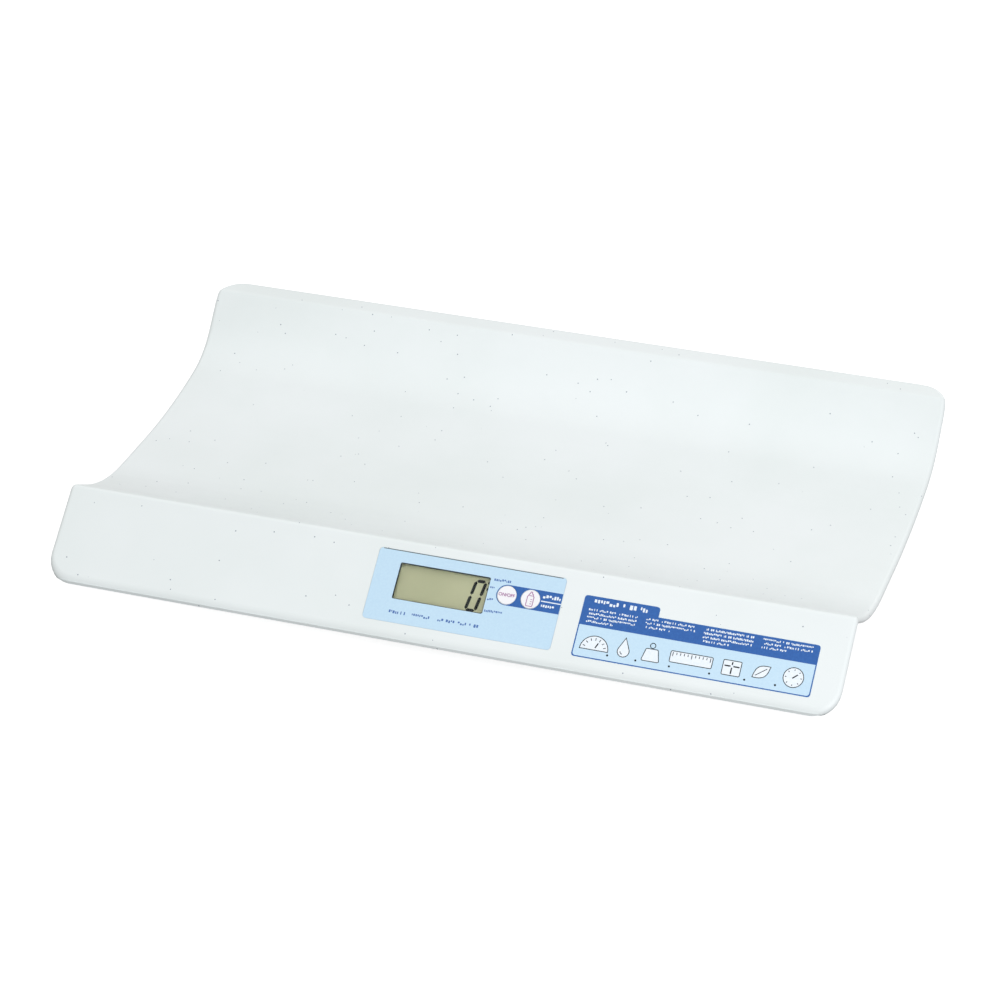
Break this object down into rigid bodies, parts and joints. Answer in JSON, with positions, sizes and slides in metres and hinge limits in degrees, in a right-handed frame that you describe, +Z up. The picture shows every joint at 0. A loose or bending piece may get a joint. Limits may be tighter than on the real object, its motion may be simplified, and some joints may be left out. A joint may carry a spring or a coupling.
{
  "type": "digital baby weighing scale",
  "caption": "Curved one-piece tray with a tilted display panel and press buttons, carried by a load cell on a low battery-powered base with rubber feet.",
  "frame": {"origin": "on the floor, under the middle of the tray's plan outline", "axes": "+X along the tray, +Y from the display panel towards the raised back, +Z up"},
  "size_m": [0.55, 0.329, 0.0848],
  "materials": {
    "tray_plastic": "satin moulded white with a fine texture",
    "case_plastic": "matt moulded white",
    "overlay_film": "printed film, satin",
    "label_film": "printed vinyl sticker",
    "clear_window": "clear moulded window",
    "lcd": "olive-grey reflective liquid crystal",
    "button_plastic": "white with a purple print",
    "black_plastic": "moulded black",
    "circuit_board": "green solder mask",
    "plated_steel": "zinc plated",
    "cell_aluminium": "milled",
    "gauge_film": "polyimide foil",
    "foot_rubber": "soft grey rubber",
    "lead_jacket": "flexible PVC",
    "battery_wrap": "plain foil wrap"
  },
  "bodies": {
    "base": {"base_housing": "case_plastic", "base_cover": "case_plastic", "base_screws": "plated_steel", "base_plate": "plated_steel", "load_cell": "cell_aluminium", "strain_gauges": "gauge_film", "cell_screws_bottom": "plated_steel", "foot_front_left": "foot_rubber", "foot_front_right": "foot_rubber", "foot_back_left": "foot_rubber", "foot_back_right": "foot_rubber", "battery_1": "battery_wrap", "battery_2": "battery_wrap", "battery_3": "battery_wrap", "battery_4": "battery_wrap", "battery_contacts": "plated_steel"},
    "platform": {"top_shell": "tray_plastic", "platform_frame": "plated_steel", "frame_screws": "plated_steel", "upper_spacer": "plated_steel", "cell_screws_top": "plated_steel", "display_overlay": "overlay_film", "lcd_window": "clear_window", "lcd_glass": "lcd", "lcd_holder": "case_plastic", "zebra_strips": "foot_rubber", "display_board": "circuit_board", "board_chips": "black_plastic", "tact_switches": "plated_steel", "board_screws": "plated_steel", "display_cover": "case_plastic", "cover_screws": "plated_steel", "instruction_label": "label_film", "signal_lead": "lead_jacket", "power_lead": "lead_jacket"},
    "on_off_key": {"on_off_button": "button_plastic", "on_off_plunger": "black_plastic"},
    "memory_key": {"memory_button": "button_plastic", "memory_plunger": "black_plastic"},
    "door": {"battery_door": "case_plastic"}
  },
  "joints": [
    {"name": "platform_press", "type": "slide", "parent": "base", "child": "platform", "axis": [0, 0, -1], "range_m": [0, 0.0005], "stiffness_N_per_m": 245000, "springref_m": -0.00006, "deforming": ["load_cell"]},
    {"name": "on_off_press", "type": "slide", "parent": "platform", "child": "on_off_key", "axis": [0, 0.6534, -0.757], "range_m": [0, 0.0006], "stiffness_N_per_m": 2500, "springref_m": -0.0002},
    {"name": "memory_press", "type": "slide", "parent": "platform", "child": "memory_key", "axis": [0, 0.6534, -0.757], "range_m": [0, 0.0006], "stiffness_N_per_m": 2500, "springref_m": -0.0002},
    {"name": "door_slide", "type": "slide", "parent": "base", "child": "door", "axis": [1, 0, 0], "range_m": [0, 0.076]}
  ]
}
